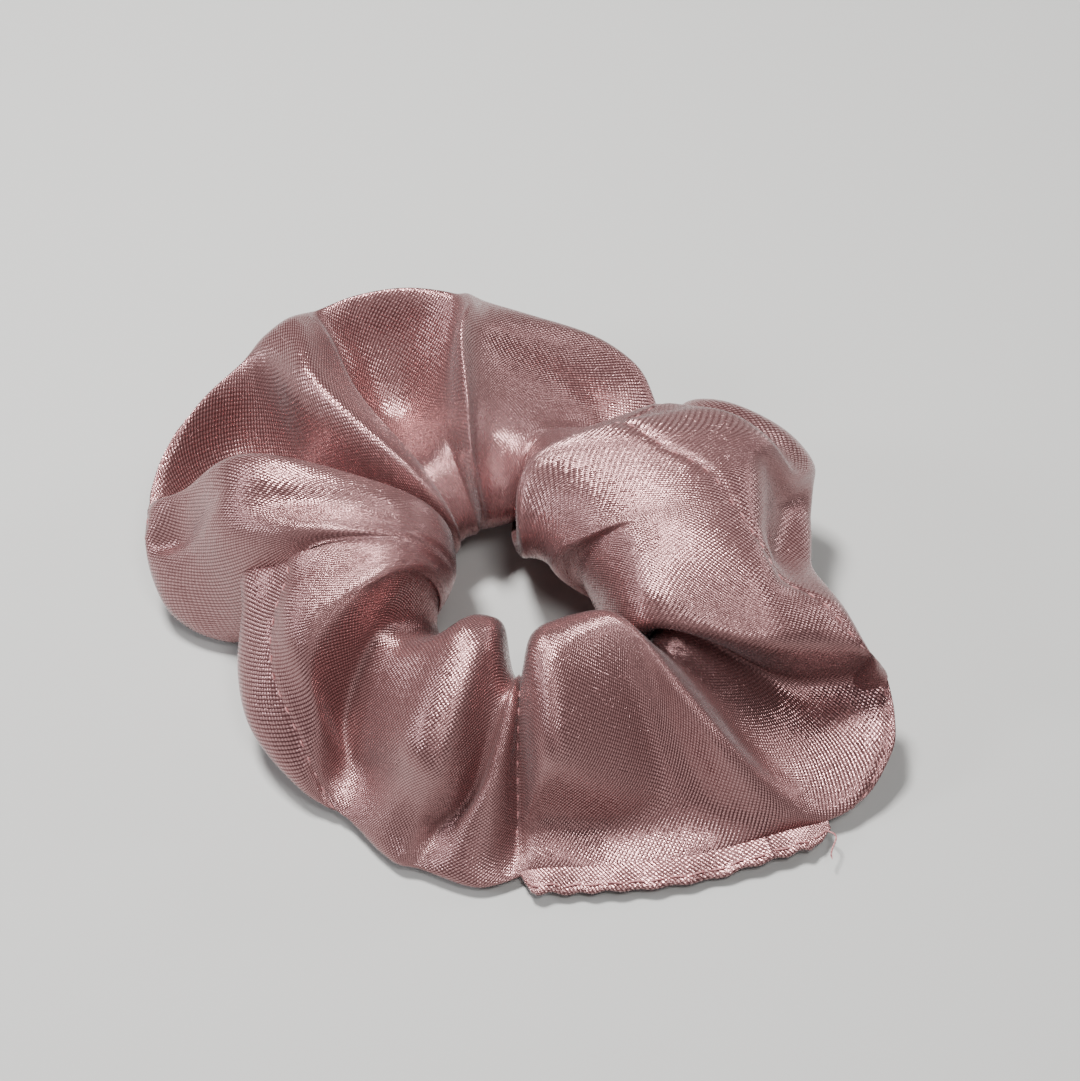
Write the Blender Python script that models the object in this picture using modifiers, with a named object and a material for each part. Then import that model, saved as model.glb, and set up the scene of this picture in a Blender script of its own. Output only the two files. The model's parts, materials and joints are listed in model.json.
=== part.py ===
"""Satin scrunchie: a sewn tube of satin gathered over a ring of flat braided elastic.

Run with: blender --background --python part.py
The model is in metres with +Z up. It lies flat on z = 0, and the origin is at the middle of its footprint.

The cover is one tube of cloth on the real object. Here it is cut across into gathers, one for each body
of the stretching ring. Each gather is an open-ended shell, and the elastic runs through all of them.
"""

import math

import bmesh
import bpy
from mathutils import Matrix, Vector

# ---------------------------------------------------------------- driving dimensions, in millimetres
MM = 0.001
GATHER_COUNT = 8
FIRST_GATHER_DEG = -90.0  # gather 1 faces the front, and holds the cross seam
RING_CENTRE = (2.0, 1.5)  # the elastic's centre, measured from the middle of the footprint

# Each gather's (outer radius, inner radius, height), anticlockwise from the front.
GATHER_SIZES = (
    (49.5, 14.0, 30.0),
    (59.0, 13.5, 32.0),
    (54.0, 15.0, 34.0),
    (47.0, 14.5, 36.0),
    (47.0, 15.0, 34.0),
    (55.0, 14.0, 36.0),
    (58.0, 13.5, 33.0),
    (49.0, 14.0, 34.0),
)
VALLEY_OUTER = 5.0  # how far the cover draws in between two gathers: at its outer edge,
VALLEY_INNER = 1.5  # at the hole,
VALLEY_TOP = 5.0  # and at its top
CLOTH_WALL = 1.0  # the crumpled cloth, as one solid wall
FLOOR_SINK = 3.0  # how much of each gather's round underside is pressed flat by the surface
SEAM_GAP = 0.4  # clear space between neighbouring solids

STATIONS_PER_GATHER = 8
SECTION_POINTS = 20

ELASTIC_RADIUS = 23.0
ELASTIC_WIDTH = 6.0
ELASTIC_THICKNESS = 1.0
ELASTIC_HEIGHT = 14.0  # of the band's middle line above the surface
ELASTIC_LAP_DEG = 30.0  # the sewn overlap of the band's two ends
ELASTIC_RAMP_DEG = 25.0
ELASTIC_STEP_DEG = 5.0

THREAD_RADIUS = 0.2
THREAD_SIDES_RESOLUTION = 1
JOIN_TURNS = 5
JOIN_POINTS_PER_TURN = 12
JOIN_SPAN_DEG = 18.0
JOIN_HALF_DEPTH = 2.2  # half of the stitching's loop across the band's thickness
JOIN_HALF_HEIGHT = 4.1  # and across its width

CLOSING_START_STATION = 1  # the turning gap's stitching starts this many stations past the cross seam
CLOSING_END_STATION = 8
TAIL_LENGTH = 4.0

# ---------------------------------------------------------------- derived sizes
GATHER_STEP = math.radians(360.0 / GATHER_COUNT)
FIRST_GATHER = math.radians(FIRST_GATHER_DEG)
STATION_COUNT = GATHER_COUNT * STATIONS_PER_GATHER
STATION_STEP = 2 * math.pi / STATION_COUNT
THREAD_CLEARANCE = THREAD_RADIUS + 0.4
LAP_RISE = ELASTIC_THICKNESS + SEAM_GAP
SPLIT_GATHER = GATHER_COUNT // 2 + 1  # the gather opposite the first is cut in two halves


# ---------------------------------------------------------------- the gathered tube as a formula
def eased(a, b, share):
    """From a to b with no slope at either end."""
    return a + (b - a) * (1 - math.cos(math.pi * share)) / 2


def gather_value(angle, column, valley):
    """One of GATHER_SIZES' columns at an angle: the gather's own value at its middle, less the valley between two."""
    turns = ((angle - FIRST_GATHER) / GATHER_STEP) % GATHER_COUNT
    left = int(turns) % GATHER_COUNT
    right = (left + 1) % GATHER_COUNT
    low, high = GATHER_SIZES[left][column], GATHER_SIZES[right][column]
    share = turns - int(turns)
    between = (low + high) / 2 - valley
    if share < 0.5:
        return eased(low, between, 2 * share)
    return eased(between, high, 2 * share - 1)


def outer_radius(angle):
    return gather_value(angle, 0, VALLEY_OUTER)


def inner_radius(angle):
    return gather_value(angle, 1, -VALLEY_INNER)


def top_height(angle):
    return gather_value(angle, 2, VALLEY_TOP)


def middle_height(angle):
    """Height of the tube's outermost line, which the long seam follows."""
    return (top_height(angle) - FLOOR_SINK) / 2


def ring_point(angle, radius, height):
    """A point given by its angle and distance from the elastic's centre, in metres."""
    x = RING_CENTRE[0] + radius * math.cos(angle)
    y = RING_CENTRE[1] + radius * math.sin(angle)
    return Vector((x, y, height)) * MM


def tube_point(angle, turn, inset=0.0):
    """A point of the cover's surface; turn goes round the tube from its outermost line, up and over."""
    half_width = (outer_radius(angle) - inner_radius(angle)) / 2
    half_height = (top_height(angle) + FLOOR_SINK) / 2
    middle_radius = inner_radius(angle) + half_width
    radius = middle_radius + (half_width - inset) * math.cos(turn)
    height = middle_height(angle) + (half_height - inset) * math.sin(turn)
    return ring_point(angle, radius, max(height, inset))


def station_angle(station):
    """Angle of a cross section of the cover, counted from the first gather's middle."""
    return FIRST_GATHER + station * STATION_STEP


# ---------------------------------------------------------------- Blender helpers
def clear_scene():
    for obj in list(bpy.data.objects):
        bpy.data.objects.remove(obj, do_unlink=True)


def make_material(name, colour, roughness, sheen=0.0):
    material = bpy.data.materials.new(name)
    material.use_nodes = True
    shader = material.node_tree.nodes["Principled BSDF"]
    shader.inputs["Base Color"].default_value = (*colour, 1.0)
    shader.inputs["Roughness"].default_value = roughness
    shader.inputs["Metallic"].default_value = 0.0
    shader.inputs["Sheen Weight"].default_value = sheen
    material.diffuse_color = (*colour, 1.0)
    return material


def add_object(name, data, collection, parent, material):
    obj = bpy.data.objects.new(name, data)
    data.materials.append(material)
    collection.objects.link(obj)
    obj.parent = parent
    return obj


def add_empty(name, collection):
    empty = bpy.data.objects.new(name, None)
    empty.empty_display_size = 5 * MM
    collection.objects.link(empty)
    return empty


def thread_curve(name, points, closed=False):
    """A round thread along the points, with filled ends."""
    curve = bpy.data.curves.new(name, "CURVE")
    curve.dimensions = "3D"
    curve.bevel_depth = THREAD_RADIUS * MM
    curve.bevel_resolution = THREAD_SIDES_RESOLUTION
    curve.use_fill_caps = not closed
    spline = curve.splines.new("POLY")
    spline.points.add(len(points) - 1)
    for spline_point, point in zip(spline.points, points):
        spline_point.co = (*point, 1.0)
    spline.use_cyclic_u = closed
    return curve


# ---------------------------------------------------------------- the cover
def cover_mesh():
    """The whole gathered tube as one surface, sculpted from a torus."""
    bpy.ops.mesh.primitive_torus_add(
        major_segments=STATION_COUNT,
        minor_segments=SECTION_POINTS,
        major_radius=1.0,
        minor_radius=0.25,
    )
    torus = bpy.context.object
    mesh = torus.data
    bpy.data.objects.remove(torus)
    for vertex in mesh.vertices:
        x, y, z = vertex.co
        angle = math.atan2(y, x)
        turn = math.atan2(z, math.hypot(x, y) - 1.0)
        vertex.co = tube_point(angle, turn)
    return mesh


def face_station(face):
    """How many stations past the first gather's middle a face of the cover lies."""
    centre = face.calc_center_median() / MM
    angle = math.atan2(centre.y - RING_CENTRE[1], centre.x - RING_CENTRE[0])
    return ((angle - FIRST_GATHER) / STATION_STEP) % STATION_COUNT


def cut_section(whole, name, first, last):
    """The stretch of the cover between two stations, drawn in at both cut ends by half of SEAM_GAP."""
    section = bmesh.new()
    section.from_mesh(whole)
    outside = []
    for face in section.faces:
        past = (face_station(face) - first) % STATION_COUNT
        if past > last - first:
            outside.append(face)
    bmesh.ops.delete(section, geom=outside, context="FACES")
    middle = station_angle((first + last) / 2)
    for vertex in section.verts:
        if not vertex.is_boundary:
            continue
        centre = vertex.co / MM
        angle = math.atan2(centre.y - RING_CENTRE[1], centre.x - RING_CENTRE[0])
        side = 1.0 if math.sin(angle - middle) < 0 else -1.0
        along_ring = Vector((-math.sin(angle), math.cos(angle), 0.0))
        vertex.co += along_ring * side * SEAM_GAP / 2 * MM
    for face in section.faces:
        face.smooth = True
    mesh = bpy.data.meshes.new(name)
    section.to_mesh(mesh)
    section.free()
    return mesh


def add_gather(whole, name, first, last, collection, parent, material):
    """One open-ended shell of the cover."""
    obj = add_object(name, cut_section(whole, name, first, last), collection, parent, material)
    shell = obj.modifiers.new("cloth_wall", "SOLIDIFY")
    shell.thickness = CLOTH_WALL * MM
    shell.offset = -1.0
    return obj


def add_cover(collection, bodies, material):
    """All the gathers; the one opposite the first is in two halves, where the ring of joints is opened."""
    whole = cover_mesh()
    half = STATIONS_PER_GATHER / 2
    for number in range(1, GATHER_COUNT + 1):
        middle = (number - 1) * STATIONS_PER_GATHER
        name = f"satin_cover_gather_{number}"
        if number == SPLIT_GATHER:
            spans = (("_right", middle - half, middle), ("_left", middle, middle + half))
        else:
            spans = (("", middle - half, middle + half),)
        for suffix, first, last in spans:
            body = bodies[f"gather_{number}{suffix}"]
            add_gather(whole, name + suffix, first, last, collection, body, material)
    bpy.data.meshes.remove(whole)


# ---------------------------------------------------------------- the elastic
def elastic_radius(angle_deg, start_deg):
    """The band's middle radius: it rises just before the lap, where its end lies outside its start."""
    lap_start = start_deg + 360.0
    share = (angle_deg - (lap_start - ELASTIC_RAMP_DEG)) / ELASTIC_RAMP_DEG
    return ELASTIC_RADIUS + eased(0.0, LAP_RISE, min(max(share, 0.0), 1.0))


def add_elastic_band(collection, parent, material):
    """A flat strip stood on edge and bent into a ring, with its ends lapped in the first gather."""
    start = FIRST_GATHER_DEG - ELASTIC_LAP_DEG / 2
    steps = round((360.0 + ELASTIC_LAP_DEG) / ELASTIC_STEP_DEG)
    strip = bmesh.new()
    bmesh.ops.create_grid(strip, x_segments=steps, y_segments=1, size=0.5)
    for vertex in strip.verts:
        angle_deg = start + (vertex.co.x + 0.5) * steps * ELASTIC_STEP_DEG
        height = ELASTIC_HEIGHT + vertex.co.y * ELASTIC_WIDTH
        radius = elastic_radius(angle_deg, start)
        vertex.co = ring_point(math.radians(angle_deg), radius, height)
    for face in strip.faces:
        face.smooth = True
    mesh = bpy.data.meshes.new("elastic_band")
    strip.to_mesh(mesh)
    strip.free()
    obj = add_object("elastic_band", mesh, collection, parent, material)
    thickness = obj.modifiers.new("braid_thickness", "SOLIDIFY")
    thickness.thickness = ELASTIC_THICKNESS * MM
    thickness.offset = 0.0
    return obj


def add_elastic_join(collection, parent, material):
    """Overcast stitching: one thread wound round the two lapped ends."""
    middle_radius = ELASTIC_RADIUS + LAP_RISE / 2
    count = JOIN_TURNS * JOIN_POINTS_PER_TURN
    points = []
    for index in range(count + 1):
        share = index / count
        turn = 2 * math.pi * JOIN_TURNS * share
        across, up = math.cos(turn), math.sin(turn)
        roundness = (across**4 + up**4) ** 0.25
        angle = FIRST_GATHER + math.radians((share - 0.5) * JOIN_SPAN_DEG)
        radius = middle_radius + JOIN_HALF_DEPTH * across / roundness
        height = ELASTIC_HEIGHT + JOIN_HALF_HEIGHT * up / roundness
        points.append(ring_point(angle, radius, height))
    curve = thread_curve("elastic_join_thread", points)
    return add_object("elastic_join_thread", curve, collection, parent, material)


# ---------------------------------------------------------------- the sewing
def seam_point(station, inset):
    return tube_point(station_angle(station), 0.0, inset)


def add_long_seam(collection, parent, material):
    """The seam's thread, inside the tube along its outermost line, from the closed gap round to the cross seam."""
    stations = range(CLOSING_END_STATION + 1, STATION_COUNT)
    inset = CLOTH_WALL + THREAD_CLEARANCE
    points = [seam_point(station, inset) for station in stations]
    curve = thread_curve("long_seam_thread", points)
    return add_object("long_seam_thread", curve, collection, parent, material)


def add_cross_seam(collection, parent, material):
    """The thread that joins the tube's two ends, inside the wall, all the way round the tube."""
    inset = CLOTH_WALL + THREAD_CLEARANCE
    angle = station_angle(0)
    points = []
    for index in range(SECTION_POINTS):
        points.append(tube_point(angle, 2 * math.pi * index / SECTION_POINTS, inset))
    curve = thread_curve("cross_seam_thread", points, closed=True)
    return add_object("cross_seam_thread", curve, collection, parent, material)


def add_closing_stitch(collection, parent, material):
    """The topstitching that closes the turning gap, along the outside of the edge, and its loose tail."""
    points = []
    for station in range(CLOSING_START_STATION, CLOSING_END_STATION + 1):
        points.append(seam_point(station, -THREAD_CLEARANCE))
    last_angle = station_angle(CLOSING_END_STATION)
    outward = Vector((math.cos(last_angle), math.sin(last_angle), 0.0))
    drop = Vector((0.0, 0.0, -1.0))
    points.append(points[-1] + (outward + drop).normalized() * TAIL_LENGTH * MM)
    curve = thread_curve("closing_topstitch_thread", points)
    return add_object("closing_topstitch_thread", curve, collection, parent, material)


# ---------------------------------------------------------------- the whole scrunchie
def gather_centre(number):
    """Where a gather rides on the elastic, which is the origin of its body."""
    angle = FIRST_GATHER + (number - 1) * GATHER_STEP
    return ring_point(angle, ELASTIC_RADIUS, ELASTIC_HEIGHT)


def add_bodies(collection):
    """An empty for each rigid body. Each undoes its own offset, so its pieces keep world coordinates."""
    bodies = {}
    for number in range(1, GATHER_COUNT + 1):
        suffixes = ("_right", "_left") if number == SPLIT_GATHER else ("",)
        for suffix in suffixes:
            bodies[f"gather_{number}{suffix}"] = add_empty(f"body_{number}{suffix}", collection)
    return bodies


def place_on_bodies(bodies):
    """Moves each body's empty to its gather's centre, and its pieces' geometry back by the same amount."""
    for name, empty in bodies.items():
        number = int(name.split("_")[1])
        centre = gather_centre(number)
        empty.location = centre
        for piece in empty.children:
            piece.data.transform(Matrix.Translation(-centre))


def build():
    clear_scene()
    collection = bpy.data.collections.new("scrunchie")
    bpy.context.scene.collection.children.link(collection)
    satin = make_material("satin", (0.60, 0.32, 0.32), 0.35, sheen=0.4)
    elastic = make_material("elastic", (0.85, 0.84, 0.82), 0.8)
    thread = make_material("thread", (0.70, 0.42, 0.42), 0.5)
    bodies = add_bodies(collection)
    add_cover(collection, bodies, satin)
    root = bodies["gather_1"]
    add_elastic_band(collection, root, elastic)
    add_elastic_join(collection, root, thread)
    add_long_seam(collection, root, thread)
    add_cross_seam(collection, root, thread)
    add_closing_stitch(collection, root, thread)
    place_on_bodies(bodies)


build()
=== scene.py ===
"""The looks of a satin scrunchie: one sewn tube of satin, gathered on a ring of flat elastic.

The cover is laid out fold by fold from FOLDS and partly relaxed by cloth simulation on the floor. It is then cut
across at the bodies of the stretching ring, into one length of cloth for each span between two bodies.
"""

import json
import math

import bpy
import numpy as np
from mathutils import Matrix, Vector


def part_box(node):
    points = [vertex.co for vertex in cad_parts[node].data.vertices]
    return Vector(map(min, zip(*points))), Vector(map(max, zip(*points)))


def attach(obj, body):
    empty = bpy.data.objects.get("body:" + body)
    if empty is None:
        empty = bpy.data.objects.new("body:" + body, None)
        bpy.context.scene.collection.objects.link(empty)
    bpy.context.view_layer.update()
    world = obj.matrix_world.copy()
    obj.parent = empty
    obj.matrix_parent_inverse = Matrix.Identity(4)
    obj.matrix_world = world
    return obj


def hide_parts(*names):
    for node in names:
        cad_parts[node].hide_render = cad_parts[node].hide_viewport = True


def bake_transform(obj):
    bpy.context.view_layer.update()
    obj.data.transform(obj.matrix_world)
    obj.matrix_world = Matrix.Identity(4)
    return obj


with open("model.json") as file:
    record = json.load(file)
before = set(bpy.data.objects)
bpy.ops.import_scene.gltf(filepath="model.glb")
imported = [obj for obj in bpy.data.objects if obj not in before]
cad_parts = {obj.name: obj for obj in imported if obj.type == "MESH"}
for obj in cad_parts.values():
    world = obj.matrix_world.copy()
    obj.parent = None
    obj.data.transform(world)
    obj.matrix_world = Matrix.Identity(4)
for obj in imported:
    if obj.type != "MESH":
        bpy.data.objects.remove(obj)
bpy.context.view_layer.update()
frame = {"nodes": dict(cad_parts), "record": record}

MM = 0.001
GATHER_COUNT = 8
FIRST_GATHER_DEG = -90.0
GATHER_STEP_DEG = 360.0 / GATHER_COUNT

# ---------------------------------------------------------------- the elastic, placed from the frame
band_low, band_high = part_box("elastic_band")
BAND_THICKNESS = 1.0 * MM
BAND_WIDTH = band_high.z - band_low.z
BAND_HEIGHT = (band_high.z + band_low.z) / 2
BAND_RADIUS = (band_high.x - band_low.x - BAND_THICKNESS) / 2
RING_X = (band_high.x + band_low.x) / 2
RING_Y = band_high.y - BAND_RADIUS - BAND_THICKNESS / 2
BAND_LAP_DEG = 30.0
BAND_RAMP_DEG = 25.0
BAND_LAP_RISE = 1.4 * MM

# ---------------------------------------------------------------- the cover's folds
# One row for each fold line and each hollow between two, anticlockwise from the cross seam at the front:
# the angles where the line leaves the hole and where it reaches the edge, how far it bows aside between them,
# the radius at the hole, the top's height over the elastic, half way out and near the edge, and the edge's own
# radius and height. Degrees and millimetres.
FOLDS = (
    # the cross seam's slit, and the front right gather with its rolled left side and hollow panel
    (-93, -91.2, 0, 16.5, 18.5, 5.0, 2.6, 44.0, 1.6),
    (-90, -89.6, 2, 13.5, 25.5, 17.0, 5.5, 42.8, 1.6),
    (-82, -83.0, 0, 12.0, 27.0, 20.0, 6.0, 42.5, 1.6),
    (-66, -73.0, 0, 11.5, 26.5, 14.0, 3.6, 43.8, 1.6),
    (-53, -61.0, 0, 12.5, 26.0, 9.5, 3.6, 46.6, 1.6),
    (-45, -52.0, -2, 14.0, 25.5, 11.0, 4.6, 49.4, 1.6),
    (-41, -43.5, -4, 15.0, 24.0, 17.5, 9.5, 53.0, 2.0),
    # the pocket beside it, and the flap that hangs over the pocket
    (-38, -38.5, -1, 19.5, 18.5, 8.5, 5.5, 56.4, 2.8),
    (-36, -33.0, 0, 20.5, 18.0, 7.5, 5.5, 59.0, 4.5),
    (-31, -24.0, 0, 20.5, 18.0, 8.0, 7.5, 59.3, 9.0),
    (-26, -16.5, 1, 20.5, 18.0, 9.0, 9.5, 55.5, 12.0),
    (-44, -19.5, 1, 19.0, 23.0, 24.0, 22.5, 52.5, 20.0),
    (-38, -14.0, 0, 14.0, 26.0, 27.0, 26.0, 47.5, 22.5),
    # the wide right gather, its inner side pushed far into the hole
    (-22, -9.0, 0, 9.5, 27.5, 29.0, 24.0, 44.0, 21.5),
    (-4, -1.5, 1, 7.0, 28.5, 28.5, 19.5, 41.5, 18.5),
    (-5, 13.5, 10, 3.5, 29.0, 29.5, 17.5, 44.0, 14.5),
    (110, 24.5, -37, 1.5, 29.5, 30.0, 21.5, 49.4, 16.0),
    (113, 31.0, -32, 4.5, 29.0, 29.5, 24.0, 46.6, 20.0),
    (104, 42.0, -26, 6.5, 27.5, 28.0, 25.0, 40.9, 22.5),
    (100, 50.0, -20, 7.5, 25.0, 25.5, 22.5, 38.5, 20.0),
    # the hollow behind it, and the back gather up to its sharp ridge
    (97, 57.0, -12, 13.0, 18.0, 9.5, 9.5, 40.5, 9.0),
    (95, 65.5, -4, 14.0, 18.0, 10.0, 11.5, 46.2, 12.0),
    (100, 76.0, 0, 13.5, 18.5, 15.5, 16.0, 48.8, 14.0),
    (109, 88.0, 0, 13.0, 19.5, 20.0, 21.0, 48.4, 18.0),
    (117, 96.5, -2, 13.0, 21.0, 25.0, 25.5, 48.4, 21.0),
    (122, 101.0, -4, 12.5, 23.5, 30.5, 29.5, 48.6, 23.0),
    # the bowl behind the ridge, and the rolled pleat
    (123, 104.5, -3, 13.5, 18.5, 17.0, 21.0, 51.3, 23.5),
    (127, 112.0, 0, 14.0, 18.0, 10.0, 16.0, 53.4, 24.5),
    (133, 120.0, 0, 14.0, 18.0, 9.5, 15.5, 55.6, 24.0),
    (139, 125.5, 0, 14.0, 18.5, 14.5, 19.5, 56.3, 23.5),
    (139, 128.5, -3, 13.5, 21.0, 20.0, 24.5, 56.0, 24.5),
    (151, 133.0, 0, 11.0, 25.5, 30.0, 29.5, 55.5, 25.5),
    (155, 138.0, 0, 12.5, 23.0, 25.5, 26.0, 56.5, 24.0),
    # the pocket at the back left
    (153, 142.0, 0, 16.0, 18.0, 11.5, 16.5, 57.0, 22.0),
    (152, 148.0, 0, 17.0, 18.0, 8.5, 12.0, 58.5, 20.5),
    (151, 156.0, 0, 17.0, 18.0, 9.5, 11.0, 60.0, 18.5),
    (150, 162.0, 0, 16.5, 18.0, 9.0, 10.5, 60.2, 17.0),
    (152, 167.0, 0, 16.5, 18.0, 10.0, 11.0, 60.0, 15.5),
    # the left dome, which leans over the pocket, and the lobe that hangs under it at the far left
    (155, 169.0, 2, 12.0, 26.5, 31.0, 21.5, 59.5, 15.0),
    (163, 171.5, 1, 11.0, 28.5, 32.5, 17.5, 59.2, 13.5),
    (170, 173.5, 1, 10.5, 29.0, 31.5, 13.0, 58.6, 11.5),
    (176, 176.5, 0, 10.3, 29.0, 30.0, 17.5, 57.3, 9.0),
    (181, 180.0, 0, 10.2, 29.0, 29.5, 14.5, 54.8, 5.0),
    (185, 183.5, 0, 10.2, 29.0, 29.0, 9.0, 49.8, 2.8),
    (188, 186.0, 0, 10.3, 28.5, 28.0, 6.0, 43.5, 2.5),
    (190, 185.5, 0, 10.5, 28.5, 27.0, 10.0, 40.5, 6.5),
    # the left gather's rolled side, its top, and the ridge that sweeps down its front
    (192, 182.0, 0, 10.8, 28.5, 27.0, 23.0, 42.3, 18.5),
    (196, 189.0, 0, 11.5, 28.0, 26.0, 23.0, 42.3, 17.0),
    (200, 199.0, 0, 12.5, 28.0, 25.5, 20.5, 44.8, 11.0),
    (202, 208.5, 0, 13.5, 27.0, 24.5, 17.0, 46.2, 8.0),
    (199, 223.0, -2, 13.5, 26.0, 22.0, 13.5, 45.0, 4.0),
    # the hollow in front of it, and the two front left pleats
    (206, 228.0, 0, 14.5, 18.5, 8.5, 5.5, 44.0, 2.8),
    (217, 232.0, 0, 14.5, 18.5, 10.0, 5.0, 43.1, 2.4),
    (227, 236.5, 1, 12.5, 21.5, 15.0, 8.0, 43.6, 2.4),
    (236, 241.0, 4, 10.8, 25.0, 20.5, 11.5, 44.8, 2.2),
    (254, 246.0, 2, 10.5, 25.0, 19.0, 9.0, 46.0, 2.0),
    (265, 250.0, 0, 16.0, 19.0, 8.0, 4.5, 45.2, 1.8),
    (267, 256.0, 0, 15.8, 20.5, 13.5, 8.0, 45.6, 1.7),
    (268.5, 262.0, 0, 16.2, 19.0, 11.0, 5.5, 46.2, 1.6),
)
ROW_TURN = np.array((360.0, 360.0) + (0.0,) * 7)  # what a row's values gain in one turn of the ring
FOLD_ROUNDING = 0.5  # how far each fold is rounded off, from 0, straight from row to row, to 1
UNDERSIDE_DEPTH = 15.0  # how far below the top the tube's lower cloth hangs, where the floor leaves room
UNDERSIDE_LOOSENESS = 3  # how many rows to each side the lower cloth is averaged over
UNDERSIDE_TURN = np.array((360.0, 360.0, 0.0, 0.0, 0.0))
FLOOR_CLEARANCE = 0.7
# how far along its line, from 0 at the hole to 1 at the edge, each corner of a cross section lies
OUTER_PLACE = 0.88
MIDDLE_PLACE = 0.55
CROWN_PLACE = 0.15
LOWER_PLACE = 0.12
OUTER_INSET = 6.5  # how far inside the edge the outer corner lies above,
LOWER_INSET = 6.0  # and below

GRID_ALONG = 192  # points of the simulated cloth along the strip
GRID_ROUND = 42  # and round the tube
REFINE = 4  # the finished cloth has this many points for each simulated one, each way
STRIP_LENGTH = 355.0 * MM  # the strip of satin, as cut
STRIP_WIDTH = 92.0 * MM
CLOTH_THICKNESS = 0.22 * MM


# ---------------------------------------------------------------- smooth curves through rows of points
def row_at(rows, index, turn):
    """Row index of a closed list; each full turn round it adds turn."""
    return rows[index % len(rows)] + (index // len(rows))[:, None] * turn


def through_rows(rows, positions, turn, rounding=1.0):
    """Values between rows: a Catmull-Rom curve, or straight from row to row where rounding is 0."""
    index = np.floor(positions).astype(int)
    share = (positions - index)[:, None]
    before, start, end, after = (row_at(rows, index + shift, turn) for shift in (-1, 0, 1, 2))
    curve = 0.5 * (
        2 * start
        + (end - before) * share
        + (2 * before - 5 * start + 4 * end - after) * share**2
        + (3 * start - before - 3 * end + after) * share**3
    )
    straight = start * (1 - share) + end * share
    return rounding * curve + (1 - rounding) * straight


def even_loops(corners, count):
    """Closed smooth loops through corners, shape (loops, corners, 3), each as count evenly spaced points."""
    corner_count = corners.shape[1]
    positions = np.linspace(0, corner_count, 14 * corner_count, endpoint=False)
    no_turn = np.zeros(3)
    loops = np.empty((len(corners), count, 3))
    for number, loop_corners in enumerate(corners):
        loop = through_rows(loop_corners, positions, no_turn)
        loop = np.vstack([loop, loop[:1]])
        length = np.concatenate([[0], np.cumsum(np.linalg.norm(np.diff(loop, axis=0), axis=1))])
        wanted = np.linspace(0, length[-1], count, endpoint=False)
        for axis in range(3):
            loops[number, :, axis] = np.interp(wanted, length, loop[:, axis])
    return loops


def spline_weights(factor):
    """Uniform cubic B-spline weights of the four nearest points, at factor even steps between two."""
    share = np.arange(factor) / factor
    return np.stack(
        [
            (1 - share) ** 3 / 6,
            (3 * share**3 - 6 * share**2 + 4) / 6,
            (-3 * share**3 + 3 * share**2 + 3 * share + 1) / 6,
            share**3 / 6,
        ],
        axis=1,
    )


def refined(grid, factor, axis):
    """A closed grid with factor times the points along one axis, smoothed as a B-spline."""
    parts = []
    for weights in spline_weights(factor):
        parts.append(sum(w * np.roll(grid, 1 - shift, axis) for shift, w in enumerate(weights)))
    return np.stack(parts, axis + 1).reshape(
        tuple(size * (factor if number == axis else 1) for number, size in enumerate(grid.shape))
    )


# ---------------------------------------------------------------- the cover's shape before it relaxes
def ring_points(angle_deg, radius_mm, height_mm):
    """Points by angle and distance from the elastic's centre, in metres."""
    angle = np.radians(angle_deg)
    x = RING_X / MM + radius_mm * np.cos(angle)
    y = RING_Y / MM + radius_mm * np.sin(angle)
    return np.stack([x, y, height_mm + 0 * angle], axis=-1) * MM


def underside_rows():
    """The lower cloth for each row of FOLDS, which follows the folds above it only loosely.

    Angles half way out and near the edge, then heights at the hole, half way out and near the edge.
    """
    rows = np.array(FOLDS, float)
    hole_angle, edge_angle, bow, _, top_inner, top_middle, top_outer, _, edge_height = rows.T
    middle_angle = hole_angle + (edge_angle - hole_angle) * MIDDLE_PLACE + bow
    inner = np.clip((top_inner - 2 * UNDERSIDE_DEPTH + 8) / 2, 2.5, 8.0)
    middle = top_middle - UNDERSIDE_DEPTH
    outer = np.minimum(edge_height, top_outer) - 0.75 * UNDERSIDE_DEPTH
    lower = np.stack([middle_angle, edge_angle, inner, middle, outer], axis=1)
    spread = UNDERSIDE_LOOSENESS
    index = np.arange(len(rows))
    shares = spread + 1 - np.abs(np.arange(-spread, spread + 1))
    near_rows = [row_at(lower, index + step - spread, UNDERSIDE_TURN) for step in range(len(shares))]
    return sum(share * rows for share, rows in zip(shares, near_rows)) / shares.sum()


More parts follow.
